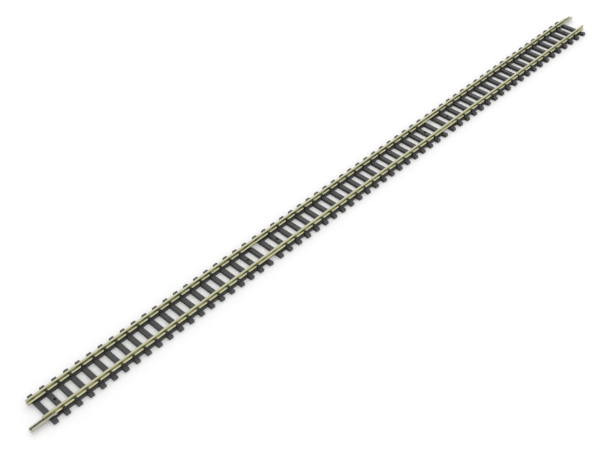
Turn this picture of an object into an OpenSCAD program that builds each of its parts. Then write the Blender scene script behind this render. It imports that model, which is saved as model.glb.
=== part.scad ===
// Straight section of 9 mm gauge model railway track.
// Two flat-bottomed rails are clipped into three identical sleeper mouldings,
// and one sheet-metal rail joiner is pushed onto each end of the section.
// +X runs along the track, -Y is the near rail, +Z is up.
// The origin is the middle of the underside.

/* [Track] */
// Distance between the inner faces of the two rail heads
gauge = 9; // [8.9:0.05:9.2]
// Length of rail carried by one sleeper moulding
base_len = 104.2; // [96:0.1:112]

/* [Rail] */
// Height of the rail
rail_h = 2.03; // [1.95:0.01:2.2]
// Width of the rail head
head_w = 0.9; // [0.8:0.05:1]
// Depth of the side of the rail head
head_h = 0.6; // [0.5:0.05:0.65]
// Radius of the top corners of the rail head
head_r = 0.16; // [0.05:0.01:0.2]
// Thickness of the upright web of the rail
web_t = 0.5; // [0.4:0.05:0.6]
// Width of the rail foot
foot_w = 1.5; // [1.4:0.05:1.7]
// Thickness of the rail foot at its edge
foot_edge_h = 0.4; // [0.35:0.01:0.45]

/* [Sleepers] */
// Length of a sleeper, across the track
sleeper_l = 16; // [15.5:0.1:17]
// Width of a sleeper, along the track
sleeper_w = 1.95; // [1.8:0.05:2.2]
// Height of a sleeper
sleeper_h = 1.25; // [1.2:0.05:1.5]
// Extra spacing between the end sleepers of two neighbouring mouldings
joint_gap = 0.55; // [0.3:0.05:0.8]
// Width of the plastic strip that ties the sleepers together under a rail
tie_w = 2.2; // [2.1:0.05:2.4]
// Drop of the tie strip below the top of the sleepers
tie_drop = 0.1; // [0.05:0.05:0.2]
// Diameter of a fixing-pin hole
pin_hole_d = 1; // [0.8:0.05:1.1]

/* [Rail clips] */
// Width of a clip, along the track
clip_w = 1.1; // [0.9:0.05:1.3]
// Height of a clip above the sleeper
clip_h = 0.75; // [0.7:0.05:0.8]
// How far a clip's lip reaches over the rail foot
clip_lip = 0.35; // [0.25:0.05:0.4]
// Thickness of a clip outside the rail foot
clip_t = 0.52; // [0.45:0.01:0.6]

/* [Rail joiners] */
// Length of a joiner
joiner_l = 10.8; // [9.6:0.1:10.8]
// Length of a joiner that stands out past the rail end
joiner_out = 5.6; // [5.4:0.1:5.6]
// Thickness of the joiner's sheet
sheet_t = 0.2; // [0.15:0.01:0.2]
// Clearance between a joiner and the rail foot
joiner_clear = 0.03; // [0.02:0.01:0.05]
// Clearance between the edge of a joiner's lip and the rail's web
lip_clear = 0.05; // [0.03:0.01:0.1]
// How far a joiner's lips stop short of the ends of its floor
lip_setback = 0.7; // [0.3:0.1:0.9]
// Depth of the room for a joiner in the end sleepers of a moulding
joiner_room = 0.4; // [0.4:0.05:0.5]

/* [Hidden] */
$fn = 48;

near = -1;
far = 1;
sleepers = 21;
last = sleepers - 1;
pitch = (base_len - joint_gap) / sleepers;
rail_len = 3 * base_len;
rail_y = (gauge + head_w) / 2;

// Rail section: heights above the rail's underside
foot_fall = 0.22;
foot_root_h = foot_edge_h + foot_fall;
head_undercut = 0.12;
head_edge_h = rail_h - head_h;
head_root_h = head_edge_h - head_undercut;
foot_slope = foot_fall / (foot_w - web_t) * 2;

// Clip section: distances out from the rail's centre
clip_gap = 0.02;
clip_bevel = 0.2;
clip_in = foot_w / 2 - clip_lip;
clip_root = foot_w / 2 + clip_gap;
clip_out = clip_root + clip_t;

// Joiner section
joiner_in_w = foot_w / 2 + joiner_clear;
joiner_out_w = joiner_in_w + sheet_t;
joiner_slot = web_t / 2 + lip_clear;
joiner_nose = 0.5;
joiner_top = foot_root_h + joiner_clear + sheet_t;
pocket_side = 0.22;

rail_colour = "#b9ad84";
joiner_colour = "#c2b88f";
plastic_colour = "#3c3c3e";
over = 1;

function arc(c, r, from, to, steps) =
    [for (i = [0:steps]) let (a = from + (to - from) * i / steps) c + r * [cos(a), sin(a)]];

function mirrored(half) = [for (i = [len(half) - 1:-1:0]) [-half[i].x, half[i].y]];

// Height of the sloped top of the rail foot, at a distance out from the rail's centre
function foot_top(out) = foot_edge_h + (foot_w / 2 - out) * foot_slope;

// Place of a sleeper along one moulding, measured from the moulding's middle
function sleeper_x(i) = (i - last / 2) * pitch;

// Draws a section that lies across the track and runs along it, centred on x = 0
module along_x(length) {
    rotate([90, 0, 90])
        linear_extrude(height = length, center = true)
            children();
}

module rail_section() {
    half = concat(
        [
            [foot_w / 2, 0],
            [foot_w / 2, foot_edge_h],
            [web_t / 2, foot_root_h],
            [web_t / 2, head_root_h],
            [head_w / 2, head_edge_h]
        ],
        arc([head_w / 2 - head_r, rail_h - head_r], head_r, 0, 90, 4)
    );
    polygon(concat(half, mirrored(half)));
}

module rail(side) {
    color(rail_colour)
        translate([0, side * rail_y, sleeper_h])
            along_x(rail_len)
                rail_section();
}

// One clip of a pair: a post outside the rail foot with a lip over it
module clip_section() {
    polygon([
        [clip_root, -tie_drop],
        [clip_out, -tie_drop],
        [clip_out, clip_h - 2 * clip_bevel],
        [clip_out - clip_bevel, clip_h],
        [clip_in, clip_h],
        [clip_in, foot_top(clip_in) + clip_gap],
        [clip_root, foot_top(foot_w / 2) + clip_gap]
    ]);
}

module clip_pair() {
    along_x(clip_w) {
        clip_section();
        mirror([1, 0]) clip_section();
    }
}

module sleeper() {
    translate([-sleeper_w / 2, -sleeper_l / 2, 0])
        cube([sleeper_w, sleeper_l, sleeper_h]);
}

module tie_strip() {
    length = last * pitch;
    translate([-length / 2, -tie_w / 2, 0])
        cube([length, tie_w, sleeper_h - tie_drop]);
}

// Room for a joiner: the end sleeper and the first bay of the tie strip, under one rail
module joiner_pocket() {
    pocket_w = 2 * (joiner_out_w + pocket_side);
    length = pitch + over;
    translate([-sleeper_w / 2 - over, -pocket_w / 2, sleeper_h - joiner_room])
        cube([length, pocket_w, joiner_room + over]);
}

// Narrow slots through a sleeper under the two lips of a clip pair
module lip_slots() {
    for (side = [near, far])
        translate([0, side * (clip_in + clip_root) / 2, sleeper_h / 2])
            cube([clip_w, clip_lip + clip_gap, sleeper_h + over], center = true);
}

module sleeper_base(place) {
    color(plastic_colour)
        translate([place * base_len, 0, 0])
            difference() {
                union() {
                    for (i = [0:last])
                        translate([sleeper_x(i), 0, 0])
                            sleeper();
                    for (side = [near, far])
                        translate([0, side * rail_y, 0])
                            tie_strip();
                    for (i = [1:last - 1], side = [near, far])
                        translate([sleeper_x(i), side * rail_y, sleeper_h])
                            clip_pair();
                }
                for (end = [-1, 1], side = [near, far])
                    translate([end * sleeper_x(last), side * rail_y, 0])
                        mirror([end > 0 ? 1 : 0, 0, 0])
                            joiner_pocket();
                for (i = [1:last - 1], side = [near, far])
                    translate([sleeper_x(i), side * rail_y, 0])
                        lip_slots();
                for (i = [1, last - 1])
                    translate([sleeper_x(i), 0, -over])
                        cylinder(d = pin_hole_d, h = sleeper_h + 2 * over);
            }
}

// Folded sheet that wraps the rail foot and leaves a slot for the rail's web
module joiner_section() {
    floor_low = -joiner_clear - sheet_t;
    lip_low = foot_top(joiner_slot) + joiner_clear;
    edge_low = foot_top(foot_w / 2) + joiner_clear;
    half = [
        [joiner_out_w, floor_low],
        [joiner_out_w, edge_low + sheet_t],
        [joiner_slot, lip_low + sheet_t],
        [joiner_slot, lip_low],
        [joiner_in_w, edge_low],
        [joiner_in_w, -joiner_clear]
    ];
    polygon(concat(half, mirrored(half)));
}

// Cuts the corners off one end of a joiner, so that it finds the next rail's foot
module nose_cut() {
    for (side = [near, far])
        translate([-joiner_l / 2, side * joiner_out_w, 0])
            rotate([0, 0, 45])
                cube([joiner_nose, joiner_nose, 2 * (joiner_top + over)], center = true);
}

// Slants the lips and sides back from one end of a joiner's floor
module lip_cut() {
    rotate([90, 0, 0])
        linear_extrude(height = 2 * (joiner_out_w + over), center = true)
            polygon([
                [-joiner_l / 2 - over, -joiner_clear],
                [-joiner_l / 2, -joiner_clear],
                [-joiner_l / 2 + lip_setback, joiner_top],
                [-joiner_l / 2 + lip_setback, joiner_top + over],
                [-joiner_l / 2 - over, joiner_top + over]
            ]);
}

module rail_joiner(end) {
    middle = rail_len / 2 + joiner_out - joiner_l / 2;
    color(joiner_colour)
        rotate([0, 0, end > 0 ? 180 : 0])
            translate([-middle, -rail_y, sleeper_h])
                difference() {
                    along_x(joiner_l)
                        joiner_section();
                    for (turn = [0, 1])
                        mirror([turn, 0, 0]) {
                            nose_cut();
                            lip_cut();
                        }
                }
}

module rail_near() {
    rail(near);
}

module rail_far() {
    rail(far);
}

module sleeper_base_left() {
    sleeper_base(-1);
}

module sleeper_base_middle() {
    sleeper_base(0);
}

module sleeper_base_right() {
    sleeper_base(1);
}

module rail_joiner_left() {
    rail_joiner(-1);
}

module rail_joiner_right() {
    rail_joiner(1);
}

rail_near();
rail_far();
sleeper_base_left();
sleeper_base_middle();
sleeper_base_right();
rail_joiner_left();
rail_joiner_right();
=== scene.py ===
"""Looks of a straight section of 9 mm gauge model railway track, built around its CAD frame.

Sizes are in metres, apart from the camera's lens and sensor, which Blender takes in millimetres.
Places come from the frame's nodes; what the frame can't say, such as the radius of an edge, is a
named value.
"""
import math

import bmesh
import bpy
from mathutils import Matrix, Vector, noise


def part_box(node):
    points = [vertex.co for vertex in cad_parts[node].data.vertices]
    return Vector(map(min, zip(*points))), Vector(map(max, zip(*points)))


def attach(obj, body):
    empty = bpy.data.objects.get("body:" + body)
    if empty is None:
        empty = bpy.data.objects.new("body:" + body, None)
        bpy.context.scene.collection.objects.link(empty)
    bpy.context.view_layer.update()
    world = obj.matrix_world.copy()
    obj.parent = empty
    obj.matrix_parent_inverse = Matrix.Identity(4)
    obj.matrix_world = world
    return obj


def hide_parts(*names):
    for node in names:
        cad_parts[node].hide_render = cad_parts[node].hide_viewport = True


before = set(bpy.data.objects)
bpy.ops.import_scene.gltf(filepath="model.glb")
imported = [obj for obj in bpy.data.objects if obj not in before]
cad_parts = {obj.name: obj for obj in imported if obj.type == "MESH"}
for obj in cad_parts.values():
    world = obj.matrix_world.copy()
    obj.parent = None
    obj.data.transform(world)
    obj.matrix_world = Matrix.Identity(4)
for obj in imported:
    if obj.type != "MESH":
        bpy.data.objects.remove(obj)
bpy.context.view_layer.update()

MM = 0.001

# ---- sizes read from the frame ----------------------------------------------------------------
rail_low, rail_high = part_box("rail_near")
base_low, base_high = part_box("sleeper_base_middle")
joiner_low, joiner_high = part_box("rail_joiner_left")

SLEEPER_H = rail_low.z
SLEEPER_L = base_high.y - base_low.y
BASE_TOP = base_high.z
RAIL_Y = -(rail_low.y + rail_high.y) / 2
RAIL_H = rail_high.z - rail_low.z
FOOT_W = rail_high.y - rail_low.y
JOINER_HALF_W = (joiner_high.y - joiner_low.y) / 2

# ---- sizes of the rail ------------------------------------------------------------------------
HEAD_W = 0.9 * MM
HEAD_H = 0.6 * MM
WEB_T = 0.5 * MM
FOOT_EDGE_H = 0.4 * MM
FOOT_ROOT_H = 0.62 * MM
HEAD_ROOT_DROP = 0.12 * MM
HEAD_CROWN = 0.03 * MM
FOOT_LOW_R = 0.05 * MM
FOOT_TOP_R = 0.07 * MM
FOOT_ROOT_R = 0.08 * MM
HEAD_ROOT_R = 0.1 * MM
HEAD_LOW_R = 0.05 * MM
HEAD_TOP_R = 0.15 * MM
RAIL_CHAMFER = 0.03 * MM
RAIL_STEP = 2.5 * MM

# ---- sizes of the sleeper moulding ------------------------------------------------------------
SLEEPERS = 21
LAST = SLEEPERS - 1
SLEEPER_W = 1.95 * MM
PITCH = (base_high.x - base_low.x - SLEEPER_W) / LAST
SLEEPER_DRAFT = 0.04 * MM
SLEEPER_EDGE = 0.14 * MM
SLEEPER_CHAMFER = 0.12 * MM
TIE_W = 2.2 * MM
TIE_DROP = 0.1 * MM
TIE_EDGE = 0.1 * MM
TIE_CHAMFER = 0.05 * MM
CLIP_W = 1.1 * MM
CLIP_T = 0.52 * MM
CLIP_LIP = 0.35 * MM
CLIP_GAP = 0.02 * MM
CLIP_BEVEL = 0.2 * MM
CLIP_SHOULDER_R = 0.15 * MM
CLIP_CROWN_R = 0.12 * MM
CLIP_NOSE_R = 0.06 * MM
CLIP_LIP_R = 0.05 * MM
CLIP_CHAMFER = 0.045 * MM
POCKET_DROP = 0.4 * MM
POCKET_SIDE = 0.22 * MM
PIN_HOLE_R = 0.5 * MM
PIN_LEAD_IN = 0.08 * MM
PIN_HOLE_SIDES = 40
CUT_OVER = 1.0 * MM

# ---- the moulded wood grain -------------------------------------------------------------------
GRAIN_DEPTH = 0.045 * MM
GRAIN_WIDTH = 0.16 * MM
GRAIN_LENGTH = 2.6 * MM
GRAIN_SHIFT = 7.3
GRAIN_GAIN = 2.2
FINE_SHARE = 0.55
COARSE_SHARE = 0.75
COARSE_ACROSS = 0.35
COARSE_ALONG = 0.5
COARSE_SHIFT = 40
WANDER = 0.8
WANDER_ALONG = 0.8
WANDER_SHIFT = 3.7
WANDER_PLANE = 5.0
GRAIN_COLUMNS = 26
GRAIN_ROWS_STEP = 0.4 * MM
TOP_MARGIN = 0.02 * MM

# ---- sizes of the joiner ----------------------------------------------------------------------
SHEET_T = 0.2 * MM
LIP_CLEAR = 0.05 * MM
JOINER_SLOT = WEB_T / 2 + LIP_CLEAR
JOINER_CLEAR = 0.03 * MM
JOINER_BEND = 0.2 * MM
SHOULDER_BEND = JOINER_BEND * 0.8
JOINER_NOSE = 0.4 * MM
JOINER_STEPS = 24
JOINER_EDGE = 0.02 * MM
LIP_SETBACK = 0.7 * MM

# ---- how meshes are finished ------------------------------------------------------------------
END_ROUNDING = 0.3
LEAST_SPREAD = 0.5
SHARP_ANGLE = math.radians(38)
BEVEL_ANGLE = math.radians(50)

# ---- depths of the surface texture ------------------------------------------------------------
DRAWN_LINE_DEPTH = 0.006 * MM
SCUFF_DEPTH = 0.008 * MM
PIT_DEPTH = 0.012 * MM
FINE_GRAIN_DEPTH = 0.03 * MM

# ---- the view ---------------------------------------------------------------------------------
VIEW_TARGET = Vector((-31.95, -0.12, 0.0)) * MM
VIEW_DISTANCE = 398.2 * MM
VIEW_AZIMUTH = math.radians(42.16)
VIEW_ELEVATION = math.radians(42.45)
VIEW_ROLL = math.radians(-4.4)
VIEW_LENS = 60.765
SENSOR_W = 36

# ---- the stage --------------------------------------------------------------------------------
FLOOR_HALF = 3.0
SKY_STRENGTH = 0.91
KEY_PLACE, KEY_SIZE, KEY_POWER = (0.95, 1.05, 1.3), 2.0, 11.0
FILL_PLACE, FILL_SIZE, FILL_POWER = (-0.5, -1.0, 1.1), 1.2, 3.0


# ---- outlines ---------------------------------------------------------------------------------
def rounded(corners, steps=4, closed=True):
    """Points of an outline whose corners, given as (across, up, radius), are turned into arcs."""
    points = []
    count = len(corners)
    for i, (a, b, radius) in enumerate(corners):
        here = Vector((a, b))
        inner = closed or 0 < i < count - 1
        if radius <= 0 or not inner:
            points.append(here)
            continue
        to_before = (Vector(corners[i - 1][:2]) - here).normalized()
        to_after = (Vector(corners[(i + 1) % count][:2]) - here).normalized()
        half = to_before.angle(to_after) / 2
        reach = radius / math.tan(half)
        centre = here + (to_before + to_after).normalized() * radius / math.sin(half)
        start = here + to_before * reach - centre
        turn = start.angle_signed(here + to_after * reach - centre)
        for step in range(steps + 1):
            spin = Matrix.Rotation(-turn * step / steps, 2)
            points.append(centre + spin @ start)
    return points


def mirrored(half):
    """A half outline of corners and its mirror image, as one closed outline."""
    return half + [(-a, b, r) for a, b, r in reversed(half)]


def inset(points, depth):
    """A closed outline drawn in by depth all round."""
    count = len(points)
    moved = []
    for i, here in enumerate(points):
        before = (here - points[i - 1]).normalized()
        after = (points[(i + 1) % count] - here).normalized()
        normal = Vector((-before.y - after.y, before.x + after.x)).normalized()
        spread = max(LEAST_SPREAD, normal.dot(Vector((-after.y, after.x))))
        moved.append(here + normal * depth / spread)
    return moved


# ---- meshes -----------------------------------------------------------------------------------
def loft(bm, rings):
    """Adds a closed skin through rings of points, with a flat face over the first and last ring."""
    loops = [[bm.verts.new(p) for p in ring] for ring in rings]
    for low, high in zip(loops, loops[1:]):
        count = len(low)
        for i in range(count):
            j = (i + 1) % count
            bm.faces.new((low[i], low[j], high[j], high[i]))
    bm.faces.new(list(reversed(loops[0])))
    bm.faces.new(loops[-1])


def end_stations(low, high, chamfer, step):
    """Places along a bar as (place, inset): rounded ends and even steps between them."""
    inner_low, inner_high = low + chamfer, high - chamfer
    bend = chamfer * END_ROUNDING
    count = max(1, round((inner_high - inner_low) / step))
    between = [(inner_low + (inner_high - inner_low) * i / count, 0.0) for i in range(count + 1)]
    return [(low, chamfer), (low + bend, bend)] + between + [(high - bend, bend), (high, chamfer)]


def bar_along_x(bm, outline, low, high, chamfer, step, at=(0.0, 0.0)):
    """A bar along X with an outline of (across, up) points, moved by at."""
    rings = []
    for x, depth in end_stations(low, high, chamfer, step):
        points = inset(outline, depth) if depth else outline
        rings.append([Vector((x, at[0] + p.x, at[1] + p.y)) for p in points])
    loft(bm, rings)


def block(bm, low, high):
    """A plain box, used only to cut others."""
    corners = [(low[0], low[1]), (high[0], low[1]), (high[0], high[1]), (low[0], high[1])]
    loft(bm, [[Vector((x, y, z)) for x, y in corners] for z in (low[2], high[2])])


def finished(bm, name):
    """Turns a bmesh into a mesh with outward normals."""
    bmesh.ops.recalc_face_normals(bm, faces=bm.faces)
    mesh = bpy.data.meshes.new(name)
    bm.to_mesh(mesh)
    bm.free()
    return mesh


def piece(mesh, name):
    """An object for a mesh, smooth over its rounded edges and sharp at its corners."""
    mesh.polygons.foreach_set("use_smooth", [True] * len(mesh.polygons))
    mesh.set_sharp_from_angle(angle=SHARP_ANGLE)
    made = bpy.data.objects.new(name, mesh)
    bpy.context.scene.collection.objects.link(made)
    weighted = made.modifiers.new("even_normals", "WEIGHTED_NORMAL")
    weighted.keep_sharp = True
    return made


def combined(base, other, operation):
    """The mesh of base joined with other, or cut by it."""
    objects = [bpy.data.objects.new(m.name, m) for m in (base, other)]
    for made in objects:
        bpy.context.scene.collection.objects.link(made)
    cut = objects[0].modifiers.new(operation, "BOOLEAN")
    cut.operation = operation
    cut.solver = "MANIFOLD"
    cut.object = objects[1]
    graph = bpy.context.evaluated_depsgraph_get()
    result = bpy.data.meshes.new_from_object(objects[0].evaluated_get(graph))
    for made in objects:
        bpy.data.objects.remove(made)
    return result


# ---- the rails --------------------------------------------------------------------------------
def foot_top(out):
    """Height of the sloped top of the rail foot, at a distance out from the rail's centre."""
    slope = (FOOT_ROOT_H - FOOT_EDGE_H) / (FOOT_W / 2 - WEB_T / 2)
    return FOOT_EDGE_H + (FOOT_W / 2 - out) * slope


def rail_outline():
    """A rail in section: foot, web and a head with a low crown."""
    head_edge = RAIL_H - HEAD_H
    half = [
        (FOOT_W / 2, 0, FOOT_LOW_R),
        (FOOT_W / 2, FOOT_EDGE_H, FOOT_TOP_R),
        (WEB_T / 2, FOOT_ROOT_H, FOOT_ROOT_R),
        (WEB_T / 2, head_edge - HEAD_ROOT_DROP, HEAD_ROOT_R),
        (HEAD_W / 2, head_edge, HEAD_LOW_R),
        (HEAD_W / 2, RAIL_H - HEAD_CROWN, HEAD_TOP_R),
        (0, RAIL_H, 0),
    ]
    return rounded(half + [(-a, b, r) for a, b, r in reversed(half[:-1])])


def make_rail(node):
    """The drawn rail that stands in a node's place."""
    low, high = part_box(node)
    bm = bmesh.new()
    middle = ((low.y + high.y) / 2, low.z)
    bar_along_x(bm, rail_outline(), low.x, high.x, RAIL_CHAMFER, RAIL_STEP, middle)
    rail = piece(finished(bm, node), node + "_drawn")
    rail.data.materials.append(rail_metal)
    return rail


# ---- the sleeper mouldings --------------------------------------------------------------------
def sleeper_x(i):
    """Place of a sleeper along a moulding, from the moulding's middle."""
    return (i - LAST / 2) * PITCH


def grain(x, y, sleeper):
    """Depth of the moulded wood grain at a point of a sleeper's top."""
    across, along = x / GRAIN_WIDTH, y / GRAIN_LENGTH
    shift = sleeper * GRAIN_SHIFT
    drift = Vector((sleeper * WANDER_SHIFT, along * WANDER_ALONG, WANDER_PLANE))
    wander = WANDER * noise.noise(drift)
    fine = noise.noise(Vector((across + wander, along, shift)))
    wide = Vector((across * COARSE_ACROSS + wander, along * COARSE_ALONG, shift + COARSE_SHIFT))
    groove = max(0.0, FINE_SHARE * fine + COARSE_SHARE * noise.noise(wide))
    return GRAIN_DEPTH * min(1.0, GRAIN_GAIN * groove)


def add_sleeper(bm, index):
    """One sleeper: drafted sides, rounded edges, a grained top and a flat underside at z = 0."""
    half_low, half_top = SLEEPER_W / 2, SLEEPER_W / 2 - SLEEPER_DRAFT
    flat = half_top - SLEEPER_EDGE
    top = [
        (flat - 2 * flat * i / GRAIN_COLUMNS, SLEEPER_H, 0) for i in range(1, GRAIN_COLUMNS)
    ]
    outline = rounded(
        [(-half_low, 0, 0), (half_low, 0, 0), (half_top, SLEEPER_H, SLEEPER_EDGE)]
        + top
        + [(-half_top, SLEEPER_H, SLEEPER_EDGE)],
        steps=3,
    )
    rings = []
    half_l = SLEEPER_L / 2
    for y, depth in end_stations(-half_l, half_l, SLEEPER_CHAMFER, GRAIN_ROWS_STEP):
        ring = []
        for p in inset(outline, depth) if depth else outline:
            on_top = p.y > SLEEPER_H - depth - TOP_MARGIN
            drop = grain(p.x, y, index) if on_top else 0.0
            z = p.y if p.y > SLEEPER_H / 2 else 0.0
            ring.append(Vector((sleeper_x(index) + p.x, y, z - drop)))
        rings.append(ring)
    loft(bm, rings)


def clip_outline():
    """One clip in section: a post outside the rail foot, with a lip over the foot."""
    root = FOOT_W / 2 + CLIP_GAP
    lip = FOOT_W / 2 - CLIP_LIP
    out = root + CLIP_T
    top = BASE_TOP - SLEEPER_H
    return rounded(
        [
            (root, -TIE_DROP, 0),
            (out, -TIE_DROP, 0),
            (out, top - 2 * CLIP_BEVEL, CLIP_SHOULDER_R),
            (out - CLIP_BEVEL, top, CLIP_CROWN_R),
            (lip, top, CLIP_NOSE_R),
            (lip, foot_top(lip) + CLIP_GAP, CLIP_LIP_R),
            (root, foot_top(FOOT_W / 2) + CLIP_GAP, 0),
        ]
    )


def add_clips(bm, index):
    """The four clips on one sleeper."""
    outline = clip_outline()
    flipped = [Vector((-p.x, p.y)) for p in reversed(outline)]
    low, high = sleeper_x(index) - CLIP_W / 2, sleeper_x(index) + CLIP_W / 2
    for side in (-1, 1):
        for section in (outline, flipped):
            at = (side * RAIL_Y, SLEEPER_H)
            bar_along_x(bm, section, low, high, CLIP_CHAMFER, CLIP_W, at)


def add_tie_strips(bm):
    """The two strips that tie the sleepers together, one under each rail."""
    top = SLEEPER_H - TIE_DROP
    outline = rounded(mirrored([(TIE_W / 2, 0, 0), (TIE_W / 2, top, TIE_EDGE)]))
    for side in (-1, 1):
        at = (side * RAIL_Y, 0.0)
        bar_along_x(bm, outline, sleeper_x(0), sleeper_x(LAST), TIE_CHAMFER, PITCH, at)


def add_joiner_pockets(bm):
    """Room for a joiner over each end sleeper and the first bay of the tie strips."""
    half = JOINER_HALF_W + POCKET_SIDE
    reach = SLEEPER_W / 2 + CUT_OVER
    for end in (-1, 1):
        edge = end * (sleeper_x(LAST) + reach)
        inner = end * (sleeper_x(LAST - 1) + SLEEPER_W / 2)
        for side in (-1, 1):
            low = (min(edge, inner), side * RAIL_Y - half, SLEEPER_H - POCKET_DROP)
            high = (max(edge, inner), side * RAIL_Y + half, SLEEPER_H + CUT_OVER)
            block(bm, low, high)


def add_lip_slots(bm, index):
    """The narrow slots that the mould's cores leave under the clips' lips."""
    lip, root = FOOT_W / 2 - CLIP_LIP, FOOT_W / 2 + CLIP_GAP
    for side in (-1, 1):
        for facing in (-1, 1):
            edges = sorted((side * RAIL_Y + facing * lip, side * RAIL_Y + facing * root))
            low = (sleeper_x(index) - CLIP_W / 2, edges[0], -CUT_OVER)
            high = (sleeper_x(index) + CLIP_W / 2, edges[1], SLEEPER_H + CLIP_GAP / 2)
            block(bm, low, high)


def add_pin_hole(bm, index):
    """A through hole for a fixing pin, with a lead-in at the top."""
    levels = [
        (-CUT_OVER, PIN_HOLE_R),
        (SLEEPER_H - PIN_LEAD_IN, PIN_HOLE_R),
        (SLEEPER_H + PIN_LEAD_IN, PIN_HOLE_R + 2 * PIN_LEAD_IN),
    ]
    turns = [2 * math.pi * i / PIN_HOLE_SIDES for i in range(PIN_HOLE_SIDES)]
    rings = [
        [Vector((sleeper_x(index) + r * math.cos(a), r * math.sin(a), z)) for a in turns]
        for z, r in levels
    ]
    loft(bm, rings)


def moulding_mesh():
    """The whole moulding as one closed mesh: sleepers, tie strips and clips, less its openings."""
    sleepers, strips, clips, openings = (bmesh.new() for _ in range(4))
    for i in range(SLEEPERS):
        add_sleeper(sleepers, i)
    add_tie_strips(strips)
    for i in range(1, LAST):
        add_clips(clips, i)
        add_lip_slots(openings, i)
    add_joiner_pockets(openings)
    holes = bmesh.new()
    for i in (1, LAST - 1):
        add_pin_hole(holes, i)
    whole = combined(finished(sleepers, "sleepers"), finished(strips, "strips"), "UNION")
    whole = combined(whole, finished(clips, "clips"), "UNION")
    whole = combined(whole, finished(openings, "openings"), "DIFFERENCE")
    return combined(whole, finished(holes, "holes"), "DIFFERENCE")


def make_mouldings(nodes):
    """One moulding for each node, all from the same mesh."""
    source = moulding_mesh()
    made = []
    for node in nodes:
        low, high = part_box(node)
        mesh = source.copy()
        mesh.transform(Matrix.Translation(((low.x + high.x) / 2, 0, 0)))
        moulding = piece(mesh, node + "_moulding")
        moulding.data.materials.clear()
        moulding.data.materials.append(sleeper_plastic)
        made.append(moulding)
    return made


# ---- the joiners ------------------------------------------------------------------------------
def joiner_midline():
    """The middle of the folded sheet in section, from one lip's edge round to the other's."""
    half_t = SHEET_T / 2
    side = JOINER_HALF_W - half_t
    floor = -JOINER_CLEAR - half_t
    shoulder = foot_top(FOOT_W / 2) + JOINER_CLEAR + half_t
    lip = foot_top(JOINER_SLOT) + JOINER_CLEAR + half_t
    half = [(side, floor, JOINER_BEND), (side, shoulder, SHOULDER_BEND), (JOINER_SLOT, lip, 0)]
    right = [(0.0, floor, 0)] + half
    points = rounded(right, steps=6, closed=False)
    return [Vector((-p.x, p.y)) for p in reversed(points[1:])] + points


def end_cut(here, midline):
    """How far each end of the sheet is cut back at a point of its midline."""
    lip, floor = midline[0].y, midline[len(midline) // 2].y
    past = min(JOINER_NOSE, max(0.0, abs(here.x) - (JOINER_HALF_W - JOINER_NOSE)))
    corner = JOINER_NOSE - math.sqrt(JOINER_NOSE**2 - past**2)
    climb = (here.y - floor) / (lip - floor)
    return max(corner * (1 - climb), 0.0) + LIP_SETBACK * climb


def sheet_rows(bm, midline, side, low, high):
    """Rows of points over one face of the sheet, half its thickness off the midline."""
    rows = []
    for i, here in enumerate(midline):
        before = midline[max(i - 1, 0)]
        after = midline[min(i + 1, len(midline) - 1)]
        along = (after - before).normalized()
        point = here + Vector((-along.y, along.x)) * side * SHEET_T / 2
        cut = end_cut(here, midline)
        start, stop = low + cut, high - cut
        xs = [start + (stop - start) * k / JOINER_STEPS for k in range(JOINER_STEPS + 1)]
        rows.append([bm.verts.new((x, point.x, point.y)) for x in xs])
    return rows


def folded_sheet(bm, midline, low, high):
    """A sheet folded along a midline, with its corners rounded in plan."""
    under, over = [sheet_rows(bm, midline, side, low, high) for side in (-1, 1)]
    folds, steps = range(len(midline) - 1), range(JOINER_STEPS)
    for rows in (under, over):
        for i in folds:
            for k in steps:
                bm.faces.new((rows[i][k], rows[i + 1][k], rows[i + 1][k + 1], rows[i][k + 1]))
    for k in steps:
        for i in (0, len(midline) - 1):
            bm.faces.new((under[i][k], under[i][k + 1], over[i][k + 1], over[i][k]))
    for i in folds:
        for k in (0, JOINER_STEPS):
            bm.faces.new((under[i][k], under[i + 1][k], over[i + 1][k], over[i][k]))


def make_joiner(node):
    """The folded joiner that stands in a node's place."""
    low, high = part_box(node)
    bm = bmesh.new()
    folded_sheet(bm, joiner_midline(), low.x, high.x)
    bmesh.ops.translate(bm, verts=bm.verts, vec=(0, (low.y + high.y) / 2, SLEEPER_H))
    joiner = piece(finished(bm, node), node + "_folded")
    edge = joiner.modifiers.new("soft_edges", "BEVEL")
    edge.width = JOINER_EDGE
    edge.segments = 2
    edge.limit_method = "ANGLE"
    edge.angle_limit = BEVEL_ANGLE
    joiner.data.materials.append(joiner_metal)
    return joiner


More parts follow.
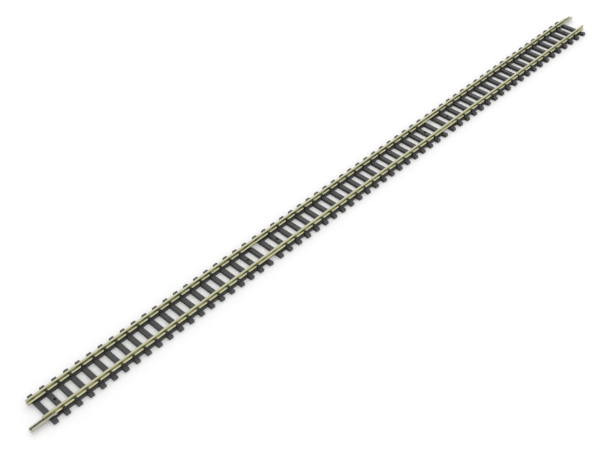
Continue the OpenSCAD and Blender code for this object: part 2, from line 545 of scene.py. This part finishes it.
# ---- materials --------------------------------------------------------------------------------
class Shader:
    """A material's node tree with short calls for the nodes that the materials share."""

    def __init__(self, name):
        self.material = bpy.data.materials.new(name)
        self.material.use_nodes = True
        self.tree = self.material.node_tree
        self.surface = self.tree.nodes["Principled BSDF"]

    def node(self, kind, **settings):
        """A new node with its settings."""
        made = self.tree.nodes.new(kind)
        for key, value in settings.items():
            setattr(made, key, value)
        return made

    def join(self, source, target):
        """Links an output to an input."""
        self.tree.links.new(source, target)

    def coordinates(self, stretch):
        """Object coordinates in millimetres, stretched per axis."""
        place = self.node("ShaderNodeTexCoord")
        scale = self.node("ShaderNodeMapping")
        scale.inputs["Scale"].default_value = [s / MM for s in stretch]
        self.join(place.outputs["Object"], scale.inputs["Vector"])
        return scale.outputs["Vector"]

    def noise(self, stretch, scale, detail=4.0, roughness=0.55):
        """Noise from 0 to 1 over stretched object coordinates."""
        made = self.node("ShaderNodeTexNoise")
        made.inputs["Scale"].default_value = scale
        made.inputs["Detail"].default_value = detail
        made.inputs["Roughness"].default_value = roughness
        self.join(self.coordinates(stretch), made.inputs["Vector"])
        return made.outputs["Fac"]

    def ramp(self, value, stops):
        """Colours or greys along a value: stops are (position, colour)."""
        made = self.node("ShaderNodeValToRGB")
        ends = made.color_ramp.elements
        while len(ends) < len(stops):
            ends.new(0.5)
        for element, (position, colour) in zip(ends, stops):
            element.position = position
            element.color = (*colour, 1) if isinstance(colour, tuple) else (colour,) * 3 + (1,)
        self.join(value, made.inputs["Fac"])
        return made.outputs["Color"]

    def mix(self, factor, a, b, blend="MIX"):
        """Two colours blended by a factor, which is a number or an output."""
        made = self.node("ShaderNodeMix", data_type="RGBA", blend_type=blend)
        if isinstance(factor, float):
            made.inputs["Factor"].default_value = factor
        else:
            self.join(factor, made.inputs["Factor"])
        self.join(a, made.inputs["A"])
        self.join(b, made.inputs["B"])
        return made.outputs["Result"]

    def height(self, low, high):
        """0 below low, 1 above high, by height over the floor."""
        place = self.node("ShaderNodeTexCoord")
        split = self.node("ShaderNodeSeparateXYZ")
        spread = self.node("ShaderNodeMapRange")
        self.join(place.outputs["Object"], split.inputs["Vector"])
        self.join(split.outputs["Z"], spread.inputs["Value"])
        spread.inputs["From Min"].default_value = low
        spread.inputs["From Max"].default_value = high
        return spread.outputs["Result"]

    def facing(self, axis):
        """1 on faces square to an axis, 0 on faces along it."""
        shape = self.node("ShaderNodeNewGeometry")
        split = self.node("ShaderNodeSeparateXYZ")
        size = self.node("ShaderNodeMath", operation="ABSOLUTE")
        self.join(shape.outputs["Normal"], split.inputs["Vector"])
        self.join(split.outputs[axis], size.inputs[0])
        return size.outputs["Value"]

    def bump(self, height, distance, strength=1.0, under=None):
        """A normal bumped by a height, on top of another normal if one is given."""
        made = self.node("ShaderNodeBump")
        made.inputs["Strength"].default_value = strength
        made.inputs["Distance"].default_value = distance
        self.join(height, made.inputs["Height"])
        if under is not None:
            self.join(under, made.inputs["Normal"])
        return made.outputs["Normal"]


def make_rail_metal():
    """Drawn nickel silver with lengthwise streaks; a painted highlight on the foot, painted shade on
    the head, the web and the foot's edge.
    """
    s = Shader("rail_nickel_silver")
    streaks = s.noise((0.12, 9.0, 9.0), 1.6, 5.0)
    blotches = s.noise((0.5, 1.0, 1.0), 0.35, 3.0)
    # Painted light: the head's top is painted darker as shade and the foot's top paler as a painted
    # highlight.
    crown = s.ramp(streaks, [(0.3, (0.35, 0.344, 0.23)), (0.7, (0.44, 0.432, 0.295))])
    foot = s.ramp(streaks, [(0.3, (0.76, 0.75, 0.515)), (0.7, (0.93, 0.92, 0.65))])
    # Painted shade: the upright faces (web, head and foot sides) take this darker, blotched colour.
    sides = s.ramp(blotches, [(0.35, (0.28, 0.267, 0.115)), (0.7, (0.43, 0.416, 0.206))])
    on_head = s.height(SLEEPER_H + FOOT_ROOT_H, rail_high.z - HEAD_H)
    faces_up = s.ramp(s.facing("Z"), [(0.25, 0.0), (0.7, 1.0)])
    colour = s.mix(faces_up, sides, s.mix(on_head, foot, crown))
    # Painted shade: the rail is darkened to about a third towards its foot, where it stands on the
    # sleepers.
    foot_painted_shade = s.ramp(s.height(SLEEPER_H, SLEEPER_H + FOOT_ROOT_H), [(0.62, 0.35), (0.85, 1.0)])
    s.join(s.mix(1.0, colour, foot_painted_shade, "MULTIPLY"), s.surface.inputs["Base Color"])
    s.surface.inputs["Metallic"].default_value = 1.0
    s.join(s.ramp(streaks, [(0.2, 0.30), (0.8, 0.46)]), s.surface.inputs["Roughness"])
    lines = s.noise((0.05, 30.0, 30.0), 1.0, 3.0)
    s.join(s.bump(lines, DRAWN_LINE_DEPTH), s.surface.inputs["Normal"])
    return s.material


def make_joiner_metal():
    """Folded nickel silver sheet: rolled finish with fine scuffs."""
    s = Shader("joiner_nickel_silver")
    rolled = s.noise((0.6, 5.0, 5.0), 1.4, 5.0)
    colour = s.ramp(rolled, [(0.3, (0.43, 0.425, 0.345)), (0.72, (0.53, 0.525, 0.43))])
    s.join(colour, s.surface.inputs["Base Color"])
    s.surface.inputs["Metallic"].default_value = 1.0
    s.join(s.ramp(rolled, [(0.2, 0.28), (0.8, 0.44)]), s.surface.inputs["Roughness"])
    scuffs = s.noise((2.0, 14.0, 14.0), 1.2, 4.0)
    s.join(s.bump(scuffs, SCUFF_DEPTH), s.surface.inputs["Normal"])
    return s.material


def make_sleeper_plastic():
    """Matt dark grey moulding with fine grain and painted light: sleeper ends painted palest, flanks
    and clips painted darkest as shade.
    """
    s = Shader("sleeper_plastic")
    grain_lines = s.noise((7.0, 0.5, 7.0), 1.0, 6.0, 0.6)
    cloud = s.noise((0.12, 0.2, 0.2), 1.0, 2.0)
    # Painted light and shade: the sleepers' ends are painted palest, their flanks darkest and their
    # tops between.
    flank_painted_shade = s.ramp(grain_lines, [(0.3, (0.010, 0.010, 0.011)), (0.7, (0.018, 0.018, 0.019))])
    end = s.ramp(grain_lines, [(0.3, (0.046, 0.046, 0.046)), (0.7, (0.062, 0.062, 0.061))])
    top = s.ramp(grain_lines, [(0.3, (0.020, 0.021, 0.021)), (0.7, (0.040, 0.041, 0.040))])
    colour = s.mix(s.facing("Z"), s.mix(s.facing("X"), end, flank_painted_shade), top)
    # Painted shade: the clips, standing above the sleepers' tops, are painted half as bright.
    above = s.height(SLEEPER_H, BASE_TOP)
    clip_painted_shade = s.ramp(above, [(0.1, 1.0), (0.4, 0.5)])
    colour = s.mix(1.0, colour, clip_painted_shade, "MULTIPLY")
    # A random mottle in the plastic's own tone.
    shade = s.ramp(cloud, [(0.3, 0.88), (0.7, 1.0)])
    s.join(s.mix(1.0, colour, shade, "MULTIPLY"), s.surface.inputs["Base Color"])
    s.join(s.ramp(grain_lines, [(0.25, 0.42), (0.75, 0.56)]), s.surface.inputs["Roughness"])
    s.surface.inputs["Specular IOR Level"].default_value = 0.55
    pits = s.noise((9.0, 9.0, 9.0), 1.3, 3.0)
    rough = s.bump(pits, PIT_DEPTH, 0.6)
    s.join(s.bump(grain_lines, FINE_GRAIN_DEPTH, 0.8, rough), s.surface.inputs["Normal"])
    return s.material


def make_floor_paint():
    """Plain white paper with the faintest tooth."""
    s = Shader("floor_white")
    tooth = s.noise((1.0, 1.0, 1.0), 0.6, 3.0)
    s.join(s.ramp(tooth, [(0.3, 0.90), (0.7, 0.92)]), s.surface.inputs["Base Color"])
    s.surface.inputs["Roughness"].default_value = 0.8
    s.surface.inputs["Specular IOR Level"].default_value = 0.2
    return s.material


# ---- the stage --------------------------------------------------------------------------------
def add_camera():
    """The photograph's view: down onto the track from its near left side."""
    sight = Vector((
        math.sin(VIEW_AZIMUTH) * math.cos(VIEW_ELEVATION),
        math.cos(VIEW_AZIMUTH) * math.cos(VIEW_ELEVATION),
        -math.sin(VIEW_ELEVATION),
    ))
    lens = bpy.data.cameras.new("camera")
    lens.sensor_width = SENSOR_W
    lens.lens = VIEW_LENS
    lens.clip_start = 0.01
    lens.clip_end = 20
    camera = bpy.data.objects.new("camera", lens)
    bpy.context.scene.collection.objects.link(camera)
    level = sight.to_track_quat("-Z", "Y").to_matrix().to_4x4()
    tilt = Matrix.Rotation(VIEW_ROLL, 4, "Z")
    camera.matrix_world = Matrix.Translation(VIEW_TARGET - sight * VIEW_DISTANCE) @ level @ tilt
    bpy.context.scene.camera = camera


def add_floor():
    """A plain pale floor under the track."""
    bm = bmesh.new()
    corners = [(-1, -1), (1, -1), (1, 1), (-1, 1)]
    bm.faces.new([bm.verts.new((x * FLOOR_HALF, y * FLOOR_HALF, 0)) for x, y in corners])
    floor = bpy.data.objects.new("floor", finished(bm, "floor"))
    bpy.context.scene.collection.objects.link(floor)
    floor.data.materials.append(make_floor_paint())


def add_area_light(name, place, size, power):
    """A square light that shines at the middle of the track."""
    lamp = bpy.data.lights.new(name, "AREA")
    lamp.shape = "SQUARE"
    lamp.size = size
    lamp.energy = power
    light = bpy.data.objects.new(name, lamp)
    bpy.context.scene.collection.objects.link(light)
    light.location = place
    light.rotation_euler = (-Vector(place)).to_track_quat("-Z", "Y").to_euler()


def add_lights():
    """Soft studio light: a white sky, a large key light behind and a weak fill in front."""
    world = bpy.data.worlds.new("studio")
    world.use_nodes = True
    sky = world.node_tree.nodes["Background"]
    sky.inputs["Color"].default_value = (1.0, 1.0, 1.0, 1)
    sky.inputs["Strength"].default_value = SKY_STRENGTH
    bpy.context.scene.world = world
    bpy.context.scene.view_settings.view_transform = "Standard"
    add_area_light("key", KEY_PLACE, KEY_SIZE, KEY_POWER)
    add_area_light("fill", FILL_PLACE, FILL_SIZE, FILL_POWER)


# ---- building ---------------------------------------------------------------------------------
rail_metal = make_rail_metal()
joiner_metal = make_joiner_metal()
sleeper_plastic = make_sleeper_plastic()

for rail_node in ("rail_near", "rail_far"):
    drawn = make_rail(rail_node)
    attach(drawn, "track")
    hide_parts(rail_node)

base_nodes = ("sleeper_base_left", "sleeper_base_middle", "sleeper_base_right")
for base_node, moulded in zip(base_nodes, make_mouldings(base_nodes)):
    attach(moulded, "track")
    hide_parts(base_node)

for end_name in ("left", "right"):
    folded = make_joiner("rail_joiner_" + end_name)
    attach(folded, "joiner_" + end_name)
    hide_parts("rail_joiner_" + end_name)

add_floor()
add_lights()
add_camera()
